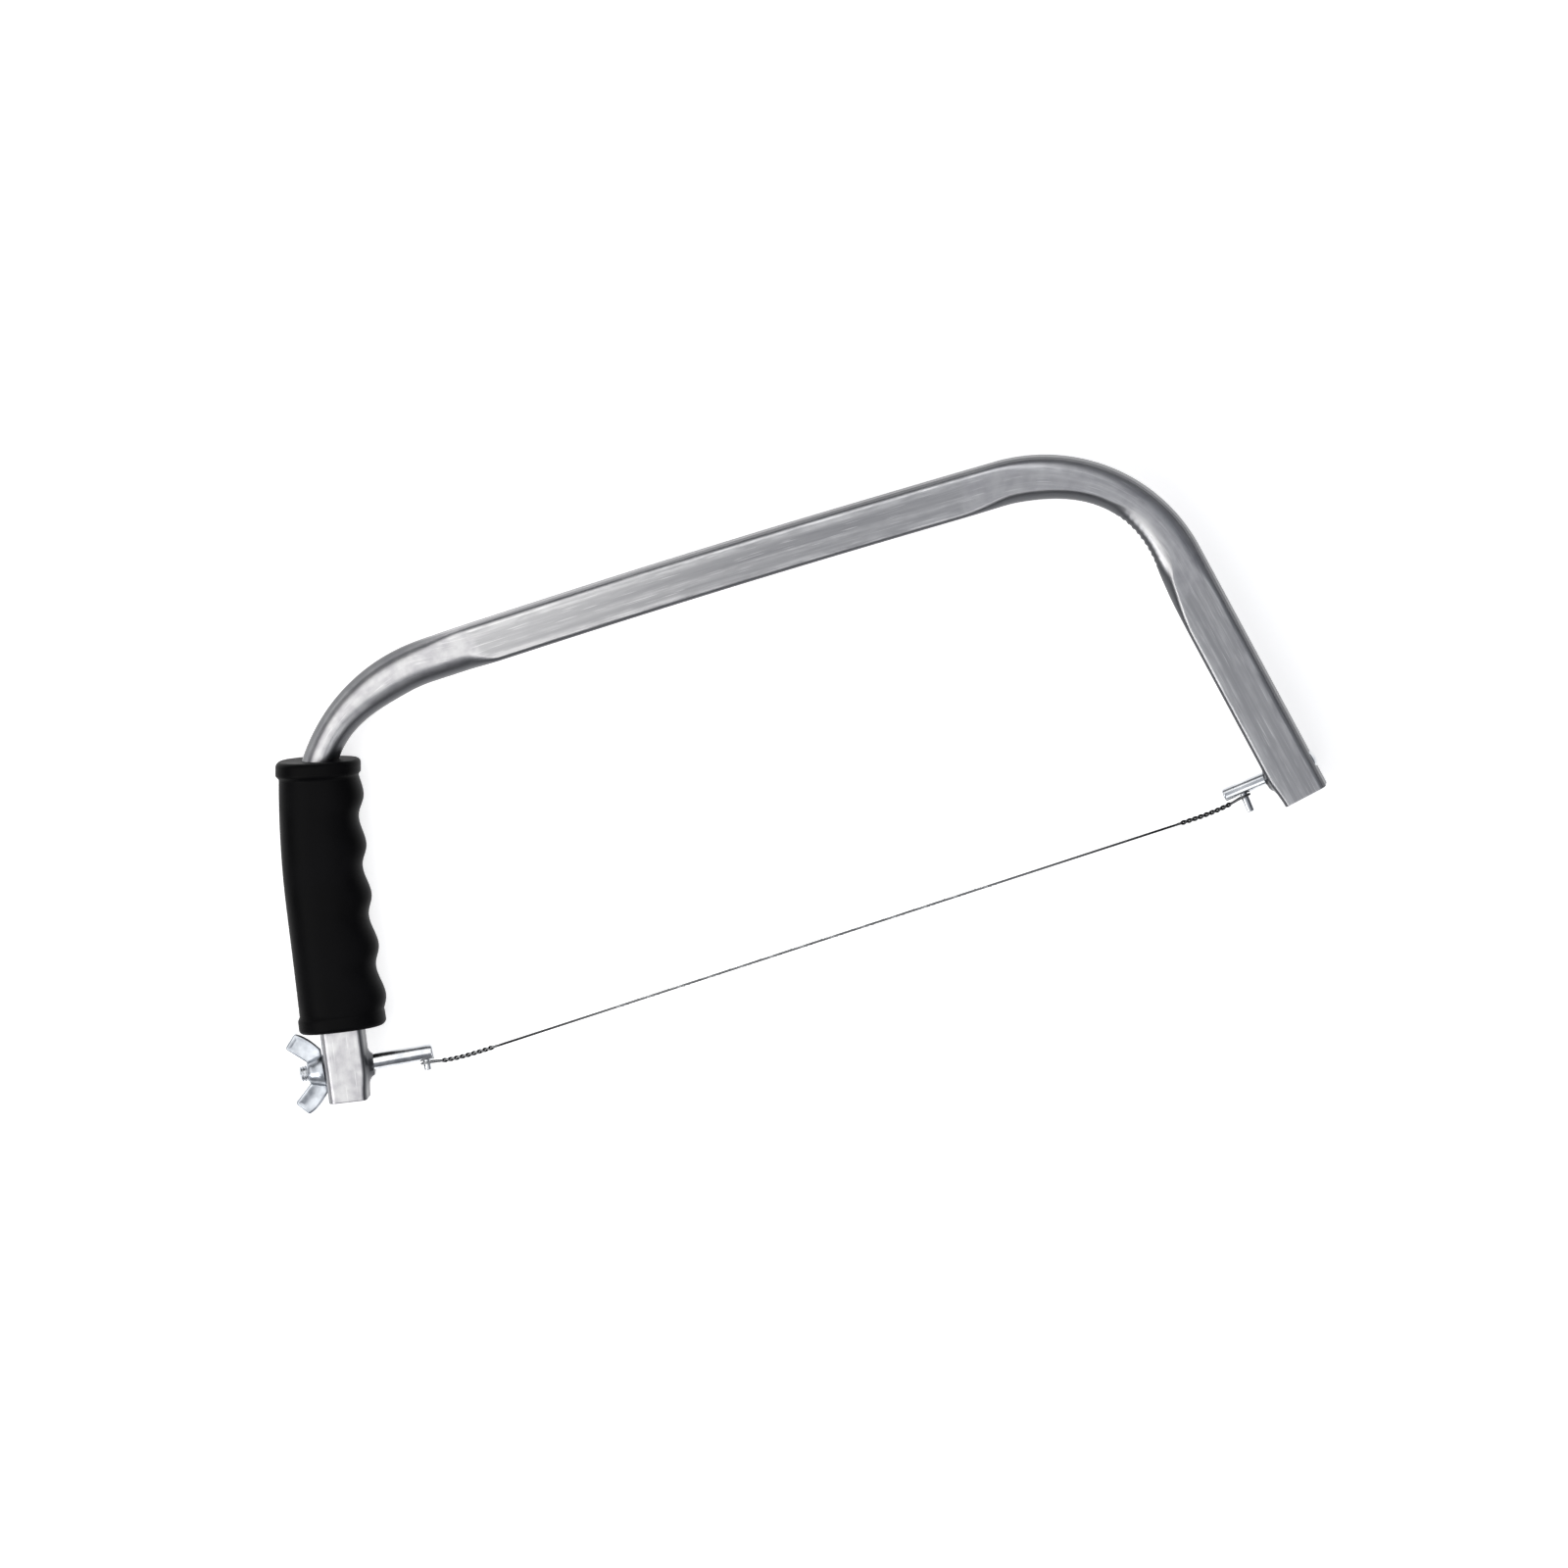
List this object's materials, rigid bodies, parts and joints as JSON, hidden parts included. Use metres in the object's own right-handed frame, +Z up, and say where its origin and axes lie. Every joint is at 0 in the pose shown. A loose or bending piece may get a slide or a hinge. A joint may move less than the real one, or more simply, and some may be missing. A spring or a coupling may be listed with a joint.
{
  "type": "fret saw",
  "caption": "Bow fret saw of bent square aluminium tube with a finger grip, a saw wire and a wing nut that tensions it.",
  "frame": {"origin": "middle of the saw's bounding box, on the surface that it lies on", "axes": "+X along the saw wire from the handle to the nose, +Y from the wire to the back of the bow, +Z up, square to the bow"},
  "size_m": [0.5018, 0.198, 0.0344],
  "materials": {
    "mill_aluminium": "mill finish with fine lines along the tube",
    "black_rubber": "smooth, half matt",
    "zinc_steel": "bright zinc plate",
    "zinc_nut": "bright zinc plate with a blue cast",
    "wire_steel": "dark drawn steel, bright on the teeth"
  },
  "bodies": {
    "saw_bow": {"bow_frame": "mill_aluminium", "grip": "black_rubber", "anchor_rod": "zinc_steel", "anchor_peg": "zinc_steel", "saw_wire": "wire_steel"},
    "tension_hook": {"tension_rod": "zinc_steel", "tension_peg": "zinc_steel"},
    "nut": {"wing_nut": "zinc_nut"}
  },
  "joints": [
    {"name": "wing_nut_turn", "type": "hinge", "parent": "saw_bow", "child": "nut", "pos_m": [-0.22273, -0.07896, 0.0172], "axis": [-0.99, 0.1409, 0], "range_deg": [0, 1728]},
    {"name": "hook_slide", "type": "slide", "parent": "saw_bow", "child": "tension_hook", "axis": [0.99, -0.1409, 0], "range_m": [0, 0.006], "deforming": ["saw_wire"]}
  ],
  "couplings": [
    {"joint": "hook_slide", "follows": "wing_nut_turn", "m_per_rad": 0.00019894}
  ]
}
